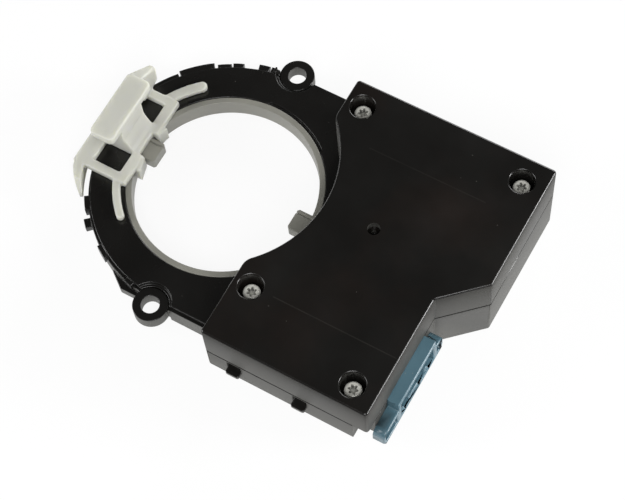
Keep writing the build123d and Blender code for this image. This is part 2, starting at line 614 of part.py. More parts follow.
def terminal_pin(index):
    """Square plated terminal, bent up from the connector into the board."""
    y = terminal_rows()[index]
    side = TERMINAL_SIDE / 2
    pin = block(TERMINAL_X - side, PLUG_FRONT_X - TERMINAL_RECESS, y - side, y + side,
                TERMINAL_Z - side, TERMINAL_Z + side)
    pin += block(TERMINAL_X - side, TERMINAL_X + side, y - side, y + side,
                 TERMINAL_Z - side, BOARD_TOP_Z + TERMINAL_STICK)
    return only(pin)


def cover_screw(index):
    """Steel pan-head screw with a six-sided drive recess."""
    x, y = SCREW_SPOTS[index]
    head = rod(x, y, SCREW_HEAD_R, SCREW_SEAT_Z, SCREW_SEAT_Z + SCREW_HEAD)
    head = fillet(head.faces().sort_by(Axis.Z)[-1].edges(), SCREW_HEAD_ROUND)
    screw = head + rod(x, y, SCREW_R, SCREW_SEAT_Z - SCREW_LENGTH, SCREW_SEAT_Z)
    drive = Pos(x, y) * RegularPolygon(SCREW_DRIVE_R, 6)
    head_top = SCREW_SEAT_Z + SCREW_HEAD
    screw -= prism(drive, head_top - SCREW_DRIVE_DEEP, head_top + PAST)
    return only(screw)


def clip_arm(side, inner_r, width):
    """A leaf arm of the clip that lies over the ring cover, from the corner of the frame to a round end."""
    middle_r = inner_r + width / 2
    root_y = CLIP_MIDDLE_Y + side * (CLIP_HALF_Y - CLIP_STRUT / 2)
    root = 180 - side * math.degrees(math.asin(root_y / middle_r))
    start, end = sorted([side * CLIP_ARM_ANGLE, side * root])
    arm = arc_band(start, end, inner_r, inner_r + width)
    for turn in (math.radians(start), math.radians(end)):
        arm += Pos(middle_r * math.cos(turn), middle_r * math.sin(turn)) * Circle(width / 2)
    return prism(arm, CLIP_BOTTOM_Z, CLIP_BOTTOM_Z + CLIP_ARM_THICK)


def clip_leg(side, outline):
    """A leg of the clip that reaches down outside the ring's wall."""
    mid = CLIP_MIDDLE_Y
    edge = [(CLIP_OUTER_X + dx, mid + side * y) for dx, y in outline]
    leg = Polygon((CLIP_OUTER_X, mid), *edge, (0, mid), align=None) - Circle(CLIP_LEG_R)
    return prism(leg, CLIP_LEG_BOTTOM_Z, CLIP_TOP_Z)


def side_cut(*points):
    """A block right through the clip along X, from its outline in Y and Z."""
    across = Plane(origin=(CLIP_OUTER_X - PAST, 0, 0), x_dir=(0, 1, 0), z_dir=(1, 0, 0))
    return extrude(across * Polygon(*points, align=None), -CLIP_OUTER_X, dir=(1, 0, 0))


def lock_clip():
    """White moulded clip that holds the rotor in its middle position until it is pulled off."""
    mid = CLIP_MIDDLE_Y
    outer_inside = CLIP_OUTER_X + CLIP_OUTER_BAR
    inner_outside = CLIP_INNER_X - CLIP_INNER_BAR
    fork_half = LUG_HALF_WIDTH + CLIP_FORK_PLAY
    frame = rect(CLIP_OUTER_X, CLIP_INNER_X, mid - CLIP_HALF_Y, mid + CLIP_HALF_Y)
    window_end = CLIP_HALF_Y - CLIP_STRUT
    frame -= rect(outer_inside, inner_outside, mid + CLIP_WEB_HALF, mid + window_end)
    frame -= rect(outer_inside, inner_outside, mid - window_end, mid - CLIP_WEB_HALF)
    frame -= rect(CLIP_INNER_X - CLIP_NOTCH, CLIP_INNER_X + PAST, -fork_half, fork_half)
    clip = prism(frame, CLIP_BOTTOM_Z, CLIP_TOP_Z)
    for side, arm_set, arm_width in zip((1, -1), CLIP_ARM_SETS, CLIP_ARM_WIDTHS):
        clip += clip_arm(side, COVER_OPENING_R + arm_set, arm_width)

    near_leg = clip_leg(-1, CLIP_NEAR_LEG)
    tip = mid - CLIP_NEAR_LEG[-1][1]
    slope_z = CLIP_TOP_Z - CLIP_LEG_SLOPE
    near_leg -= side_cut((tip - PAST, slope_z), (tip, slope_z), (tip + CLIP_LEG_SLOPE_RUN, CLIP_TOP_Z),
                         (tip + CLIP_LEG_SLOPE_RUN, CLIP_TOP_Z + PAST), (tip - PAST, CLIP_TOP_Z + PAST))
    clip += near_leg
    clip += clip_leg(1, CLIP_FAR_LEG)
    fin = Polygon(*[(CLIP_OUTER_X + dx, mid + y) for dx, y in CLIP_FIN], align=None)
    fin_start = mid + CLIP_FIN[0][1]
    fin_end = mid + CLIP_FIN[1][1]
    clip += prism(fin, CLIP_TOP_Z - FUSE, CLIP_FIN_HIGH_Z) & side_cut(
        (fin_start - PAST, CLIP_BOTTOM_Z), (fin_end + PAST, CLIP_BOTTOM_Z), (fin_end + PAST, CLIP_FIN_LOW_Z),
        (fin_end, CLIP_FIN_LOW_Z), (fin_start, CLIP_FIN_HIGH_Z), (fin_start - PAST, CLIP_FIN_HIGH_Z))

    outer_r = BORE_CLEAR_R - RUN_GAP
    fork_ring = Circle(outer_r) - Circle(outer_r - CLIP_FORK_DEEP)
    for side, width in zip((1, -1), CLIP_FORK_WIDTHS):
        low, high = sorted([side * fork_half, side * (fork_half + width)])
        clip += prism(fork_ring & rect(-BORE_CLEAR_R, 0, low, high), CLIP_FORK_BOTTOM_Z,
                      CLIP_TOP_Z - CLIP_FORK_STEP)
    clip += block(CLIP_STEM_X - CLIP_STEM_DEEP, CLIP_STEM_X, mid - CLIP_STEM_HALF, mid + CLIP_STEM_HALF,
                  CLIP_BOTTOM_Z, GRIP_BOTTOM_Z + FUSE)
    grip_y = mid + GRIP_SHIFT
    grip = rect(GRIP_OUTER_X, GRIP_OUTER_X + GRIP_WIDTH, grip_y - GRIP_HALF, grip_y + GRIP_HALF)
    grip = fillet(grip.vertices(), GRIP_CORNER_R)
    clip += prism(grip, GRIP_BOTTOM_Z, GRIP_BOTTOM_Z + GRIP_THICK)
    return only(clip)


def all_parts():
    parts = {
        "lower_housing": lower_housing(),
        "upper_cover": upper_cover(),
        "ring_cover": ring_cover(),
        "rotor_ring": rotor_ring(),
        "lock_clip": lock_clip(),
        "connector_shell": connector_shell(),
        "circuit_board": circuit_board(),
        "microcontroller": part_on_board(CONTROLLER_SPOT, CONTROLLER_SIZE),
        "bus_transceiver": part_on_board(TRANSCEIVER_SPOT, TRANSCEIVER_SIZE),
        "voltage_regulator": part_on_board(REGULATOR_SPOT, REGULATOR_SIZE),
        "crystal_can": part_on_board(CRYSTAL_SPOT, CRYSTAL_SIZE),
        "capacitor_can": capacitor(),
    }
    for index in range(len(PINION_TEETH)):
        parts[f"measuring_gear_{index + 1}"] = measuring_gear(index)
        parts[f"gear_pin_{index + 1}"] = gear_pin(index)
        parts[f"magnet_{index + 1}"] = magnet(index)
        parts[f"sensor_chip_{index + 1}"] = sensor_chip(index)
    for index in range(TERMINAL_COUNT):
        parts[f"terminal_pin_{index + 1}"] = terminal_pin(index)
    for index in range(len(SCREW_SPOTS)):
        parts[f"cover_screw_{index + 1}"] = cover_screw(index)
    return parts


os.makedirs("parts", exist_ok=True)
for name, shape in all_parts().items():
    export_step(shape, f"parts/{name}.step")
    print(name, round(shape.volume, 1))
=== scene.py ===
import bmesh
import bpy
import math
from mathutils import Matrix, Vector


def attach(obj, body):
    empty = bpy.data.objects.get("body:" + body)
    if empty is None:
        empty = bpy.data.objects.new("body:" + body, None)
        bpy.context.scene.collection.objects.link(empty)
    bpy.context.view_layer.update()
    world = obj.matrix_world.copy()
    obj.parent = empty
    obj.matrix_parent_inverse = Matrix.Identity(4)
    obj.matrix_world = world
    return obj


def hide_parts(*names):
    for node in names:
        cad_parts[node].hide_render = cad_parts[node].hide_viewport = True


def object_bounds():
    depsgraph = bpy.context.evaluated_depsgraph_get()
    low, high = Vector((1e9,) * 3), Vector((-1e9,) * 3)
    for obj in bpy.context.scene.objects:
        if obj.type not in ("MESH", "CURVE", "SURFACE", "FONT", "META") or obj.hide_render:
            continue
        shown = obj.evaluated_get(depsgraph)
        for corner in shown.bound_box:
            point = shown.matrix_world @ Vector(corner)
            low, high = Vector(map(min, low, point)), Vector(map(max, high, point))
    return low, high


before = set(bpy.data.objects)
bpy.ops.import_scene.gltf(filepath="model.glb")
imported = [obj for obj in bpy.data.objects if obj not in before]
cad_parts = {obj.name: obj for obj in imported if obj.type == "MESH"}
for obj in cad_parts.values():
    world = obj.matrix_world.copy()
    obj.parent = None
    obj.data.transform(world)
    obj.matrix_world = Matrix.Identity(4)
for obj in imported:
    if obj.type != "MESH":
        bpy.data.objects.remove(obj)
cad_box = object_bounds()
MM = 0.001

# Lower tray of the housing
# One black moulding: ring trough, box floor and walls, the two screw ears and two small hooks.
# Its upright walls carry the fine spark texture of the mould, with a painted sheen towards their foot and a
# painted dark seam at the parting line, and every outer edge is slightly rounded.
weld_mm = 0.002
flat_degrees = 0.02
edge_degrees = 28
smooth_degrees = 35


def softened(node, name, rounds, crisp=None):
    """A CAD node as one welded surface with rounded edges; rounds holds (millimetres, steps, where)."""
    bm = bmesh.new()
    bm.from_mesh(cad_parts[node].data)
    bmesh.ops.remove_doubles(bm, verts=bm.verts, dist=weld_mm * MM)
    bmesh.ops.dissolve_limit(bm, angle_limit=math.radians(flat_degrees), use_dissolve_boundaries=False,
                             verts=bm.verts, edges=bm.edges)
    for round_mm, steps, keep in rounds:
        sharp = []
        for edge in bm.edges:
            if len(edge.link_faces) != 2 or edge.calc_face_angle(0) < math.radians(edge_degrees):
                continue
            middle = (edge.verts[0].co + edge.verts[1].co) / (2 * MM)
            if keep(middle):
                sharp.append(edge)
        bmesh.ops.bevel(bm, geom=sharp, offset=round_mm * MM, segments=steps, profile=0.5, affect="EDGES",
                        clamp_overlap=False, harden_normals=False)
    mesh = bpy.data.meshes.new(name)
    bm.to_mesh(mesh)
    bm.free()
    return settled(name, mesh, crisp)


def settled(name, mesh, crisp):
    """A piece whose normals follow its large faces, so that flat faces stay flat beside rounded edges."""
    for face in mesh.polygons:
        face.use_smooth = True
    mesh.set_sharp_from_angle(angle=math.radians(smooth_degrees))
    for edge in mesh.edges:
        ends = [mesh.vertices[index].co / MM for index in edge.vertices]
        if crisp and crisp(ends[0]) and crisp(ends[1]):
            edge.use_edge_sharp = True
    piece = bpy.data.objects.new(name, mesh)
    bpy.context.scene.collection.objects.link(piece)
    even = piece.modifiers.new("even_normals", "WEIGHTED_NORMAL")
    even.keep_sharp = True
    piece.data = bpy.data.meshes.new_from_object(piece.evaluated_get(bpy.context.evaluated_depsgraph_get()))
    piece.data.name = name
    piece.modifiers.clear()
    return piece


def dress(piece, material, body, slot, *nodes):
    """Gives a new piece its material and its body, and hides the CAD nodes that it stands for; slot is not
    used.
    """
    piece.data.materials.clear()
    piece.data.materials.append(material)
    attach(piece, body)
    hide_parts(*nodes)


def shader_group(name, inputs, outputs):
    """An empty shader node group with named sockets; returns the group and its two end nodes."""
    group = bpy.data.node_groups.new(name, "ShaderNodeTree")
    for socket, kind, value in inputs:
        made = group.interface.new_socket(name=socket, in_out="INPUT", socket_type=kind)
        made.default_value = value
    for socket, kind in outputs:
        group.interface.new_socket(name=socket, in_out="OUTPUT", socket_type=kind)
    start = group.nodes.new("NodeGroupInput")
    end = group.nodes.new("NodeGroupOutput")
    return group, start, end


def joined(tree, value, socket):
    """Links an output to a socket, or sets the socket where the value is a plain one."""
    if isinstance(value, bpy.types.NodeSocket):
        tree.links.new(value, socket)
    else:
        socket.default_value = value


def sums(tree):
    """A function that adds one maths node to a node tree and gives back its output."""
    def calc(operation, *values):
        node = tree.nodes.new("ShaderNodeMath")
        node.operation = operation
        for socket, value in zip(node.inputs, values):
            joined(tree, value, socket)
        return node.outputs[0]

    return calc


def mapped(tree, value, low, high, to_low=0.0, to_high=1.0):
    """Maps a value from one range to another and keeps it inside."""
    node = tree.nodes.new("ShaderNodeMapRange")
    for socket, number in (("From Min", low), ("From Max", high), ("To Min", to_low), ("To Max", to_high)):
        node.inputs[socket].default_value = number
    tree.links.new(value, node.inputs["Value"])
    return node.outputs[0]


def noise(tree, place, per_metre, detail=2.0):
    """Soft noise with a given number of swings to the metre."""
    node = tree.nodes.new("ShaderNodeTexNoise")
    node.inputs["Detail"].default_value = detail
    tree.links.new(place, node.inputs["Vector"])
    joined(tree, per_metre, node.inputs["Scale"])
    return node.outputs["Fac"]


def blended(tree, share, first, second):
    """The first colour, with a share of the second over it."""
    node = tree.nodes.new("ShaderNodeMix")
    node.data_type = "RGBA"
    for socket, value in (("Factor", share), ("A", first), ("B", second)):
        joined(tree, value, node.inputs[socket])
    return node.outputs["Result"]


def scaled(tree, colour, factor):
    """A colour made brighter or darker by a factor."""
    node = tree.nodes.new("ShaderNodeVectorMath")
    node.operation = "SCALE"
    tree.links.new(colour, node.inputs[0])
    tree.links.new(factor, node.inputs["Scale"])
    return node.outputs[0]


def moulded_surface_group():
    """Moulded plastic: slow mottling of colour and gloss, fine mould texture and a few dust specks."""
    gloss_swing = 0.05
    slow_per_metre, patch_per_metre, specks_per_metre = 60.0, 95.0, 420.0
    speck_half, patch_level = 0.06, 0.6
    dust_colour = (0.35, 0.33, 0.3, 1)
    group, start, end = shader_group("moulded_surface", [
        ("Colour", "NodeSocketColor", (0.02, 0.02, 0.02, 1)),
        ("Mottle", "NodeSocketFloat", 0.1),
        ("Roughness", "NodeSocketFloat", 0.4),
        ("Texture size", "NodeSocketFloat", 4000.0),
        ("Dust", "NodeSocketFloat", 0.0)],
        [("Colour", "NodeSocketColor"), ("Roughness", "NodeSocketFloat"), ("Height", "NodeSocketFloat")])
    calc = sums(group)
    place = group.nodes.new("ShaderNodeTexCoord").outputs["Object"]
    swing = mapped(group, noise(group, place, slow_per_metre, 3.0), 0.3, 0.7, -1.0, 1.0)
    bright = calc("ADD", 1.0, calc("MULTIPLY", swing, start.outputs["Mottle"]))
    speck = group.nodes.new("ShaderNodeTexVoronoi")
    speck.inputs["Scale"].default_value = specks_per_metre
    group.links.new(place, speck.inputs["Vector"])
    near = calc("LESS_THAN", speck.outputs["Distance"], speck_half)
    patch = calc("GREATER_THAN", noise(group, place, patch_per_metre), patch_level)
    dusty = calc("MULTIPLY", calc("MULTIPLY", near, patch), start.outputs["Dust"])
    colour = blended(group, dusty, scaled(group, start.outputs["Colour"], bright), dust_colour)
    roughness = calc("ADD", start.outputs["Roughness"], calc("MULTIPLY", swing, gloss_swing))
    group.links.new(colour, end.inputs["Colour"])
    group.links.new(roughness, end.inputs["Roughness"])
    group.links.new(noise(group, place, start.outputs["Texture size"]), end.inputs["Height"])
    return group


MOULDED = moulded_surface_group()


def finish_material(name, colour, roughness, texture_mm, bump_mm, mottle=0.1, dust=0.0, specular=0.5,
                    metallic=0.0):
    """A finish that carries the moulded surface group, with its texture given in millimetres."""
    material = bpy.data.materials.new(name)
    material.use_nodes = True
    nodes, links = material.node_tree.nodes, material.node_tree.links
    shader = nodes["Principled BSDF"]
    surface = nodes.new("ShaderNodeGroup")
    surface.node_tree = MOULDED
    surface.inputs["Colour"].default_value = (*colour, 1)
    surface.inputs["Mottle"].default_value = mottle
    surface.inputs["Roughness"].default_value = roughness
    surface.inputs["Texture size"].default_value = 1 / (texture_mm * MM)
    surface.inputs["Dust"].default_value = dust
    bump = nodes.new("ShaderNodeBump")
    bump.inputs["Strength"].default_value = 1.0
    bump.inputs["Distance"].default_value = bump_mm * MM
    links.new(surface.outputs["Colour"], shader.inputs["Base Color"])
    links.new(surface.outputs["Roughness"], shader.inputs["Roughness"])
    links.new(surface.outputs["Height"], bump.inputs["Height"])
    links.new(bump.outputs["Normal"], shader.inputs["Normal"])
    shader.inputs["Specular IOR Level"].default_value = specular
    shader.inputs["Metallic"].default_value = metallic
    return material


def painted_wall_light_masks_group():
    """Masks for painted light on the walls: the seam band at the parting line, and how far down the box's
    upright walls a point lies.
    """
    seam_out, seam_in = 0.45 * MM, 0.25 * MM
    wall_top, wall_foot = 22 * MM, 0.0
    group, start, end = shader_group("painted_wall_light_masks", [("Seam height", "NodeSocketFloat", 0.01165)],
                                     [("Seam", "NodeSocketFloat"), ("Low", "NodeSocketFloat")])
    calc = sums(group)
    parts = group.nodes.new("ShaderNodeSeparateXYZ")
    group.links.new(group.nodes.new("ShaderNodeTexCoord").outputs["Object"], parts.inputs[0])
    off_seam = calc("ABSOLUTE", calc("SUBTRACT", parts.outputs["Z"], start.outputs["Seam height"]))
    group.links.new(mapped(group, off_seam, seam_out, seam_in), end.inputs["Seam"])
    group.links.new(mapped(group, parts.outputs["Z"], wall_top, wall_foot), end.inputs["Low"])
    return group


def painted_wall_sheen(material, seam_height):
    """Gives an upright wall a black seam, painted shade of the parting line, and a painted sheen that grows
    towards its foot.
    """
    top_painted_sheen, foot_painted_sheen = 0.05, 1.15
    tree = material.node_tree
    shader = tree.nodes["Principled BSDF"]
    # The painted sheen is tinted slightly warm.
    shader.inputs["Specular Tint"].default_value = (1.0, 1.0, 0.93, 1)
    walls = tree.nodes.new("ShaderNodeGroup")
    walls.node_tree = painted_wall_light_masks_group()
    walls.inputs["Seam height"].default_value = seam_height * MM
    calc = sums(tree)
    # Painted sheen: the wall reflects more towards its foot.
    painted_sheen = mapped(tree, walls.outputs["Low"], 0.0, 1.0, top_painted_sheen, foot_painted_sheen)
    # No reflection in the seam band, so it shows black: painted shade.
    level = calc("MULTIPLY", painted_sheen, calc("SUBTRACT", 1.0, walls.outputs["Seam"]))
    tree.links.new(level, shader.inputs["Specular IOR Level"])


def wall_finish(piece, material, on_wall):
    """Puts a second material on the upright faces that show as walls from outside."""
    upright = 0.3
    piece.data.materials.append(material)
    for face in piece.data.polygons:
        if abs(face.normal.z) < upright and on_wall(face.center / MM):
            face.material_index = 1


black_gloss = finish_material("black_plastic", (0.006, 0.0056, 0.005), 0.28, 0.3, 0.0015, dust=0.12)
black_textured = finish_material("black_textured_plastic", (0.05, 0.049, 0.045), 0.5, 0.25, 0.012,
                                 mottle=0.25)
parting_z = 11.65
# The walls' finish carries a painted sheen towards their foot and painted shade at the parting line.
painted_wall_sheen(black_textured, parting_z)


def on_tray_outside(p):
    """Edges that show from outside, above the flat underside and below the lid."""
    above_underside, below_lid = -2.7, parting_z - 0.6
    room_left, room_near, room_far = 22.5, -42.8, 33
    narrow_end_y, narrow_right, wide_right = -6, 65.4, 75.5
    room_right = narrow_right if p.y < narrow_end_y else wide_right
    in_box = room_left < p.x < room_right and room_near < p.y < room_far
    return above_underside < p.z < below_lid and not in_box


def on_box_or_side(p):
    """The box's walls and the two straight sides of the ring."""
    box_left, ring_side = 20, 30
    return p.x > box_left or abs(p.y) > ring_side


tray = softened("lower_housing", "lower_tray", [(0.18, 2, on_tray_outside)])
dress(tray, black_gloss, "housing", "housing_plastic", "lower_housing")
wall_finish(tray, black_textured, on_box_or_side)

# Circuit board and what stands on it
# Glass-fibre board with green solder resist, held between the posts of tray and lid.
# Chips, a crystal in a metal can and an electrolytic can are soldered to it.


def finish_node(name, material):
    """Gives a carried-over CAD node its own material."""
    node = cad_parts[name]
    node.data.materials.clear()
    node.data.materials.append(material)


resist_green = finish_material("solder_resist", (0.02, 0.13, 0.055), 0.25, 0.9, 0.003, mottle=0.2)
chip_black = finish_material("chip_plastic", (0.02, 0.02, 0.022), 0.6, 0.12, 0.002)
can_silver = finish_material("can_metal", (0.7, 0.7, 0.71), 0.32, 0.4, 0.001, metallic=1.0)
finish_node("circuit_board", resist_green)
for chip in ("microcontroller", "bus_transceiver", "voltage_regulator", "sensor_chip_1", "sensor_chip_2"):
    finish_node(chip, chip_black)
for can in ("crystal_can", "capacitor_can"):
    finish_node(can, can_silver)

# Measuring gears, their pins and magnets
# Two small gears moulded in natural acetal turn on ground steel pins pressed into the tray.
# Each carries a nickel-plated magnet in the cup of its hub.
acetal_white = finish_material("acetal_white", (0.78, 0.78, 0.73), 0.4, 0.3, 0.001, mottle=0.03)
ground_steel = finish_material("ground_steel", (0.6, 0.6, 0.6), 0.25, 0.15, 0.001, metallic=1.0)
magnet_nickel = finish_material("magnet_nickel", (0.45, 0.44, 0.42), 0.2, 0.6, 0.001, metallic=1.0)
for number in (1, 2):
    finish_node(f"measuring_gear_{number}", acetal_white)
    finish_node(f"gear_pin_{number}", ground_steel)
    finish_node(f"magnet_{number}", magnet_nickel)

# Rotor ring
# Grey moulded sleeve with 90 teeth on its flange and two driving lugs that reach into the bore.
# It runs in the opening of the ring cover.
rotor_grey = finish_material("rotor_grey_plastic", (0.235, 0.231, 0.2), 0.42, 0.35, 0.004, mottle=0.12,
                             specular=0.8)


def inside_teeth(p):
    """The sleeve and the lugs, but not the toothed flange."""
    sleeve_r = 26.2
    return math.hypot(p.x, p.y) < sleeve_r


rotor = softened("rotor_ring", "rotor", [(0.22, 2, inside_teeth)])
dress(rotor, rotor_grey, "rotor", "rotor_plastic", "rotor_ring")

# Ring cover
# Glossy black moulded plate over the rotor's gear.
# It snaps over the ring with short tabs that reach down the ring's outer wall.


def on_plate_top(p):
    """The upper side of the plate, with the tops of its tabs."""
    under_plate_z = 3.5
    return p.z > under_plate_z


ring_lid = softened("ring_cover", "ring_lid", [(0.2, 2, on_plate_top)])
dress(ring_lid, black_gloss, "housing", "housing_plastic", "ring_cover")

# Lid of the box
# Black moulded lid with four sunk screw seats and one small dimple; glossy on top, finely textured
# on its upright walls. The screws hold it on the tray.
screw_spots = [(25.6, 28.0), (70.2, 27.9), (25.6, -27.8), (59.4, -38.2)]
lid_top_z = 23.34
seat_reach = 3.8
dimple_x, dimple_y, dimple_reach = 44.4, -0.5, 1.8


def in_seat(p):
    """A screw's sunk seat and its rim."""
    return any(math.hypot(p.x - x, p.y - y) < seat_reach for x, y in screw_spots)


def off_seat(p):
    """All of the lid but the screw seats."""
    return not in_seat(p)


def on_seat_rim(p):
    """The round edge where a screw's seat opens in the lid's top."""
    return p.z > lid_top_z - 0.1 and in_seat(p)


def on_dimple_rim(p):
    """The round edge of the dimple, which stays crisp."""
    return p.z > lid_top_z - 0.02 and math.hypot(p.x - dimple_x, p.y - dimple_y) < dimple_reach


def lid_cast_and_sink_glints_group():
    """Two faint pale lines along the lid, a painted reflection of its sink marks, and a faint brown cast that
    comes and goes over it.
    """
    sink_lines = ((18.5, 32.8, 65.0, 0.16), (-27.6, 31.7, 65.3, 0.3))
    half_width = 0.14 * MM
    breaks_per_metre, cast_per_metre = 220.0, 38.0
    cast_starts, cast_full = 0.48, 0.72
    # The pale line colour is a painted reflection of the sink marks; the brown cast is the plastic's own
    # tone.
    painted_sink_glint_colour, brown = (0.06, 0.056, 0.05, 1), (0.0095, 0.0068, 0.0055, 1)
    group, start, end = shader_group("lid_cast_and_sink_glints", [("Base", "NodeSocketColor", (0.006, 0.0056, 0.005, 1))],
                                     [("Colour", "NodeSocketColor")])
    calc = sums(group)
    place = group.nodes.new("ShaderNodeTexCoord").outputs["Object"]
    parts = group.nodes.new("ShaderNodeSeparateXYZ")
    group.links.new(place, parts.inputs[0])
    painted_sink_glints = 0.0
    for y, x_low, x_high, strength in sink_lines:
        near_line = calc("COMPARE", parts.outputs["Y"], y * MM, half_width)
        along = calc("MULTIPLY", calc("GREATER_THAN", parts.outputs["X"], x_low * MM),
                     calc("LESS_THAN", parts.outputs["X"], x_high * MM))
        painted_sink_glints = calc("ADD", painted_sink_glints, calc("MULTIPLY", calc("MULTIPLY", near_line, along), strength))
    painted_sink_glints = calc("MULTIPLY", painted_sink_glints, noise(group, place, breaks_per_metre, 4.0))
    cast_share = mapped(group, noise(group, place, cast_per_metre, 4.0), cast_starts, cast_full)
    cast = blended(group, cast_share, start.outputs["Base"], brown)
    group.links.new(blended(group, painted_sink_glints, cast, painted_sink_glint_colour), end.inputs["Colour"])
    return group


black_lid = finish_material("black_lid_plastic", (0.006, 0.0056, 0.005), 0.28, 0.3, 0.0015, dust=0.12)
lid_tree = black_lid.node_tree
surface = next(node for node in lid_tree.nodes if node.type == "GROUP")
# The lid's colour carries the painted reflection of its sink lines.
lid_cast_and_sink_glints = lid_tree.nodes.new("ShaderNodeGroup")
lid_cast_and_sink_glints.node_tree = lid_cast_and_sink_glints_group()
lid_tree.links.new(lid_cast_and_sink_glints.outputs["Colour"], surface.inputs["Colour"])
lid = softened("upper_cover", "box_lid", [(0.45, 3, on_seat_rim)], crisp=on_dimple_rim)
dress(lid, black_lid, "housing", "housing_plastic", "upper_cover")
# The lid's upright walls get the same painted sheen and painted dark seam.
wall_finish(lid, black_textured, off_seat)

# Connector
# Blue moulded shell under the near right corner of the box, with a low wing at each end.
# It slides into the tray and is held there by the lid.
connector_blue = finish_material("connector_blue_plastic", (0.075, 0.15, 0.19), 0.36, 0.3, 0.004, mottle=0.15,
                                 dust=0.3, specular=0.8)


def outside_box(p):
    """The part of the shell that stands out of the box."""
    box_wall_x = 66.4
    return p.x > box_wall_x


shell = softened("connector_shell", "plug_shell", [(0.4, 3, outside_box)])
dress(shell, connector_blue, "housing", "connector_plastic", "connector_shell")

# Contacts of the connector
# Six tinned contacts at 2.5 mm pitch, cut from square wire.
# Each is bent up from the mouth into the board and pressed in.
contact_count, contact_pitch, first_contact_y = 6, 2.5, -30.75


def repeated(name, points, part_mesh, material, spin, seed):
    """One piece with a copy of a part on every point; spin is the largest random turn in radians."""
    tree = bpy.data.node_groups.new(name, "GeometryNodeTree")
    rows = [("Points", "NodeSocketGeometry"), ("Part", "NodeSocketObject"), ("Finish", "NodeSocketMaterial"),
            ("Spin", "NodeSocketFloat"), ("Seed", "NodeSocketInt")]
    sockets = {row: tree.interface.new_socket(name=row, in_out="INPUT", socket_type=kind)
               for row, kind in rows}
    tree.interface.new_socket(name="Geometry", in_out="OUTPUT", socket_type="NodeSocketGeometry")
    nodes, links = tree.nodes, tree.links
    start = nodes.new("NodeGroupInput")
    part = nodes.new("GeometryNodeObjectInfo")
    links.new(start.outputs["Part"], part.inputs["Object"])
    turn = nodes.new("FunctionNodeRandomValue")
    turn.data_type = "FLOAT"
    links.new(start.outputs["Spin"], turn.inputs[3])
    links.new(start.outputs["Seed"], turn.inputs["Seed"])
    about_z = nodes.new("ShaderNodeCombineXYZ")
    links.new(turn.outputs[1], about_z.inputs["Z"])
    place = nodes.new("GeometryNodeInstanceOnPoints")
    links.new(start.outputs["Points"], place.inputs["Points"])
    links.new(part.outputs["Geometry"], place.inputs["Instance"])
    links.new(about_z.outputs[0], place.inputs["Rotation"])
    real = nodes.new("GeometryNodeRealizeInstances")
    links.new(place.outputs["Instances"], real.inputs["Geometry"])
    finish = nodes.new("GeometryNodeSetMaterial")
    links.new(real.outputs["Geometry"], finish.inputs["Geometry"])
    links.new(start.outputs["Finish"], finish.inputs["Material"])
    end = nodes.new("NodeGroupOutput")
    links.new(finish.outputs["Geometry"], end.inputs["Geometry"])

    part_object = bpy.data.objects.new(name + "_part", part_mesh)
    spots = bpy.data.meshes.new(name)
    spots.from_pydata([Vector(point) * MM for point in points], [], [])
    piece = bpy.data.objects.new(name, spots)
    bpy.context.scene.collection.objects.link(piece)
    copies = piece.modifiers.new("copies", "NODES")
    copies.node_group = tree
    copies[sockets["Part"].identifier] = part_object
    copies[sockets["Finish"].identifier] = material
    copies[sockets["Spin"].identifier] = spin
    copies[sockets["Seed"].identifier] = seed
    piece.data = bpy.data.meshes.new_from_object(piece.evaluated_get(bpy.context.evaluated_depsgraph_get()))
    piece.data.name = name
    piece.modifiers.clear()
    bpy.data.objects.remove(part_object)
    return piece


def contact_mesh():
    """One square contact, with a tapered tip and a rounded bend; its middle is at y = 0."""
    side, tip_share, taper_long = 0.32, 0.45, 0.8
    x_riser, z_flat, x_tip, z_top = 56.3, 4.6, 67.2, 14.9
    bend, bend_steps = 0.7, 5
    line = [((x_tip, z_flat), (0, 1), tip_share), ((x_tip - taper_long, z_flat), (0, 1), 1.0),
            ((x_riser + bend, z_flat), (0, 1), 1.0)]
    for step in range(1, bend_steps):
        turn = math.radians(90 * step / bend_steps)
        middle = (x_riser + bend - bend * math.sin(turn), z_flat + bend - bend * math.cos(turn))
        line.append((middle, (math.sin(turn), math.cos(turn)), 1.0))
    line += [((x_riser, z_flat + bend), (1, 0), 1.0), ((x_riser, z_top - 0.6), (1, 0), 1.0),
             ((x_riser, z_top), (1, 0), tip_share)]
    bm = bmesh.new()
    rings = []
    for (x, z), (nx, nz), share in line:
        half = side * share
        corners = [(half, half), (half, -half), (-half, -half), (-half, half)]
        rings.append([bm.verts.new(Vector((x + nx * a, b, z + nz * a)) * MM) for a, b in corners])
    for first, second in zip(rings, rings[1:]):
        for i in range(len(first)):
            j = (i + 1) % len(first)
            bm.faces.new((first[i], first[j], second[j], second[i]))
    bm.faces.new(rings[0])
    bm.faces.new(rings[-1])
    bmesh.ops.recalc_face_normals(bm, faces=bm.faces)
    mesh = bpy.data.meshes.new("contact")
    bm.to_mesh(mesh)
    bm.free()
    return mesh


tinned = finish_material("tinned_metal", (0.75, 0.72, 0.65), 0.3, 0.2, 0.001, metallic=1.0)
contact_spots = [(0, first_contact_y + contact_pitch * number, 0) for number in range(contact_count)]
contact_nodes = [f"terminal_pin_{number + 1}" for number in range(contact_count)]
contacts = repeated("contacts", contact_spots, contact_mesh(), tinned, spin=0.0, seed=1)
dress(contacts, tinned, "housing", "terminal_metal", *contact_nodes)

# Screws of the lid
# Four zinc-plated pan-head screws with a six-lobed recess, sunk in their seats.
# Each was driven home at its own angle.
seat_z = 18.5


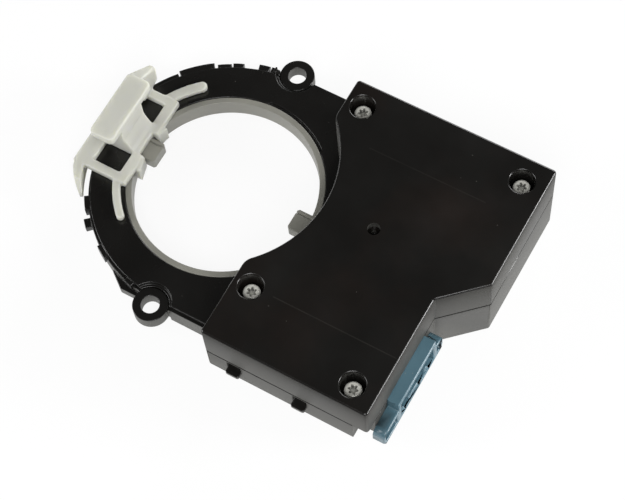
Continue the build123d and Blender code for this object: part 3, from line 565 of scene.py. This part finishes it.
def screw_mesh():
    """A pan-head screw from its tip up, turned about Z, with a six-lobed recess; z = 0 is under the head."""
    around, lobes = 60, 6
    shank_r, tip_r, tip_tall, length = 1.25, 0.9, 0.4, 11.0
    head_r, head_tall, head_round, round_steps = 2.2, 1.8, 0.7, 5
    edge, lobe_r, lobe_swing, recess, taper, pit = 0.1, 1.05, 0.25, 1.5, 0.96, 0.2
    rings = [(tip_r, -length, 0), (shank_r, -length + tip_tall, 0), (shank_r, -0.01, 0),
             (head_r - 0.08, 0.0, 0), (head_r, edge, 0)]
    for step in range(round_steps + 1):
        turn = math.radians(90 * step / round_steps)
        rings.append((head_r - head_round + head_round * math.cos(turn),
                      head_tall - head_round + head_round * math.sin(turn), 0))
    rings += [(lobe_r + edge, head_tall, 1), (lobe_r, head_tall - edge, 1),
              (lobe_r * taper, head_tall - recess, 1)]
    bm = bmesh.new()
    loops = []
    for radius, z, lobed in rings:
        loop = []
        for i in range(around):
            turn = 2 * math.pi * i / around
            r = radius + lobed * lobe_swing * math.cos(lobes * turn)
            loop.append(bm.verts.new(Vector((r * math.cos(turn), r * math.sin(turn), z)) * MM))
        loops.append(loop)
    for low, high in zip(loops, loops[1:]):
        for i in range(around):
            j = (i + 1) % around
            bm.faces.new((low[i], low[j], high[j], high[i]))
    bm.faces.new(list(reversed(loops[0])))
    lowest = bm.verts.new(Vector((0, 0, head_tall - recess - pit)) * MM)
    for i in range(around):
        bm.faces.new((loops[-1][i], loops[-1][(i + 1) % around], lowest))
    mesh = bpy.data.meshes.new("screw")
    bm.to_mesh(mesh)
    bm.free()
    for face in mesh.polygons:
        face.use_smooth = True
    lobe_edge_degrees = 38
    mesh.set_sharp_from_angle(angle=math.radians(lobe_edge_degrees))
    return mesh


def shade_painted_in_recess(material, reach_mm, strength):
    """Darkens a finish where walls close it in: painted shade in a recess."""
    tree = material.node_tree
    shader = tree.nodes["Principled BSDF"]
    closed_in = tree.nodes.new("ShaderNodeAmbientOcclusion")
    closed_in.samples = 8
    closed_in.inputs["Distance"].default_value = reach_mm * MM
    painted_recess_shade = sums(tree)("POWER", closed_in.outputs["AO"], strength)
    unshaded_colour = shader.inputs["Base Color"].links[0].from_socket
    tree.links.new(scaled(tree, unshaded_colour, painted_recess_shade), shader.inputs["Base Color"])


zinc = finish_material("zinc_plated", (0.97, 0.96, 0.88), 0.28, 0.5, 0.002, metallic=0.25)
# Painted shade in the screw heads' recesses and where the seat walls close them in.
shade_painted_in_recess(zinc, reach_mm=1.0, strength=1.8)
head_spots = [(x, y, seat_z) for x, y in screw_spots]
screws = repeated("cover_screws", head_spots, screw_mesh(), zinc, spin=1.0, seed=4)
screw_nodes = [f"cover_screw_{number + 1}" for number in range(len(screw_spots))]
dress(screws, zinc, "housing", "screw_steel", *screw_nodes)

# Lock clip
# Natural white nylon moulding with a grip on a flared stem, two leaf arms, two legs and a fork.
# It snaps over the ring to hold the rotor, and is pulled off once the sensor is fitted.
nylon = finish_material("natural_nylon", (0.52, 0.52, 0.475), 0.5, 0.6, 0.006, mottle=0.03)
nylon_shader = nylon.node_tree.nodes["Principled BSDF"]
nylon_shader.inputs["Subsurface Weight"].default_value = 1.0
nylon_shader.inputs["Subsurface Radius"].default_value = (1.0, 1.0, 0.8)
glow_depth_mm = 3.5
nylon_shader.inputs["Subsurface Scale"].default_value = glow_depth_mm * MM


def clip_mesh():
    """The clip's CAD shape with the smooth flare from its stem into the plate, as one soft moulded skin."""
    stem_x, bar_x, plate_z = -27.3, -23.9, 7.25
    low_y, high_y = -3.9, 5.65
    skin_mm, soft_share, soft_rounds = 0.24, 0.5, 9
    bm = bmesh.new()
    bm.from_mesh(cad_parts["lock_clip"].data)
    bmesh.ops.remove_doubles(bm, verts=bm.verts, dist=weld_mm * MM)
    flare = [(stem_x - 1.0, plate_z - 0.4), (bar_x, plate_z - 0.4), (bar_x, plate_z),
             (bar_x - 0.9, plate_z + 0.35), (bar_x - 1.8, plate_z + 1.2), (bar_x - 2.5, plate_z + 2.7),
             (stem_x - 0.1, plate_z + 5.0), (stem_x - 1.0, plate_z + 5.0)]
    near = [bm.verts.new(Vector((x, low_y, z)) * MM) for x, z in flare]
    far = [bm.verts.new(Vector((x, high_y, z)) * MM) for x, z in flare]
    sides = [bm.faces.new(near), bm.faces.new(list(reversed(far)))]
    for i in range(len(flare)):
        j = (i + 1) % len(flare)
        sides.append(bm.faces.new((near[j], near[i], far[i], far[j])))
    bmesh.ops.recalc_face_normals(bm, faces=sides)
    mesh = bpy.data.meshes.new("pull_clip")
    bm.to_mesh(mesh)
    bm.free()
    shape = bpy.data.objects.new("pull_clip_shape", mesh)
    bpy.context.scene.collection.objects.link(shape)
    skin = shape.modifiers.new("skin", "REMESH")
    skin.mode = "VOXEL"
    skin.voxel_size = skin_mm * MM
    skin.use_smooth_shade = True
    soften = shape.modifiers.new("soften", "SMOOTH")
    soften.factor = soft_share
    soften.iterations = soft_rounds
    result = bpy.data.meshes.new_from_object(shape.evaluated_get(bpy.context.evaluated_depsgraph_get()))
    bpy.data.objects.remove(shape)
    return result


clip = bpy.data.objects.new("pull_clip", clip_mesh())
bpy.context.scene.collection.objects.link(clip)
dress(clip, nylon, "clip", "clip_plastic", "lock_clip")

# Floor
# A pale matt sheet under the object, white to the camera, that keeps a soft shadow.
# It looks plain white in what mirrors it.
floor_z = cad_box[0].z - 0.02 * MM
floor_half = 3.0
floor_white = 0.9
camera_share = 0.9
floor_mesh = bpy.data.meshes.new("floor")
floor_corners = [(-floor_half, -floor_half, floor_z), (floor_half, -floor_half, floor_z),
                 (floor_half, floor_half, floor_z), (-floor_half, floor_half, floor_z)]
floor_mesh.from_pydata(floor_corners, [], [(0, 1, 2, 3)])
floor = bpy.data.objects.new("floor", floor_mesh)
bpy.context.scene.collection.objects.link(floor)
floor_material = bpy.data.materials.new("floor_sheet")
floor_material.use_nodes = True
floor_tree = floor_material.node_tree
sheet = floor_tree.nodes["Principled BSDF"]
sheet.inputs["Base Color"].default_value = (floor_white, floor_white, floor_white, 1)
sheet.inputs["Roughness"].default_value = 0.9
sheet.inputs["Specular IOR Level"].default_value = 0.0
glow = floor_tree.nodes.new("ShaderNodeEmission")
path = floor_tree.nodes.new("ShaderNodeLightPath")
floor_calc = sums(floor_tree)
seen = floor_calc("MULTIPLY", path.outputs["Is Camera Ray"], camera_share)
mirrored = floor_calc("MAXIMUM", path.outputs["Is Glossy Ray"], path.outputs["Is Transmission Ray"])
blend = floor_tree.nodes.new("ShaderNodeMixShader")
floor_tree.links.new(floor_calc("MAXIMUM", seen, mirrored), blend.inputs["Fac"])
floor_tree.links.new(sheet.outputs[0], blend.inputs[1])
floor_tree.links.new(glow.outputs[0], blend.inputs[2])
floor_tree.links.new(blend.outputs[0], floor_tree.nodes["Material Output"].inputs["Surface"])
floor.data.materials.append(floor_material)

# Light
# Four soft square lamps around the object, and a dim white sky.
# The sky is weak because the glossy lid mirrors it.
world = bpy.data.worlds.new("studio")
bpy.context.scene.world = world
world.use_nodes = True
sky = world.node_tree.nodes["Background"]
sky.inputs["Color"].default_value = (1, 1, 1, 1)
sky.inputs["Strength"].default_value = 0.06
lamp_specs = [
    ("lamp_by_camera", (0.35, -0.5, 0.75), 0.5, 6.5),
    ("lamp_right", (0.84, 0.32, 0.3), 0.3, 7.0),
    ("lamp_left", (-0.75, -0.45, 0.45), 0.5, 5.0),
    ("lamp_back", (0.0, 0.95, 0.3), 0.5, 5.0),
]
target = Vector((0.02, 0.0, 0.01))
for lamp_name, lamp_place, size, power in lamp_specs:
    data = bpy.data.lights.new(lamp_name, "AREA")
    data.shape = "SQUARE"
    data.size = size
    data.energy = power
    lamp = bpy.data.objects.new(lamp_name, data)
    bpy.context.scene.collection.objects.link(lamp)
    lamp.location = lamp_place
    lamp.rotation_mode = "QUATERNION"
    lamp.rotation_quaternion = (target - Vector(lamp_place)).to_track_quat("-Z", "Y")

# Camera
# High three-quarter view from the near side, with the long lens of a product photograph.
# It is slightly turned about its own line of sight.
camera_place = Vector((147.25, -167.74, 432.93)) * MM
camera_forward = Vector((-0.25027, 0.34328, -0.90527)).normalized()
camera_roll = math.radians(7.26)
focal_px = 1870.77
image_width_px = 625
level_right = camera_forward.cross(Vector((0, 0, 1))).normalized()
level_up = level_right.cross(camera_forward)
right = math.cos(camera_roll) * level_right - math.sin(camera_roll) * level_up
up = math.cos(camera_roll) * level_up + math.sin(camera_roll) * level_right
lens = bpy.data.cameras.new("camera")
lens.sensor_width = 36.0
lens.lens = focal_px * lens.sensor_width / image_width_px
lens.clip_start = 0.01
lens.clip_end = 20.0
camera = bpy.data.objects.new("camera", lens)
bpy.context.scene.collection.objects.link(camera)
facing = Matrix((right, up, -camera_forward)).transposed()
camera.rotation_mode = "QUATERNION"
camera.rotation_quaternion = facing.to_quaternion()
camera.location = camera_place
bpy.context.scene.camera = camera
bpy.context.scene.view_settings.view_transform = "Standard"
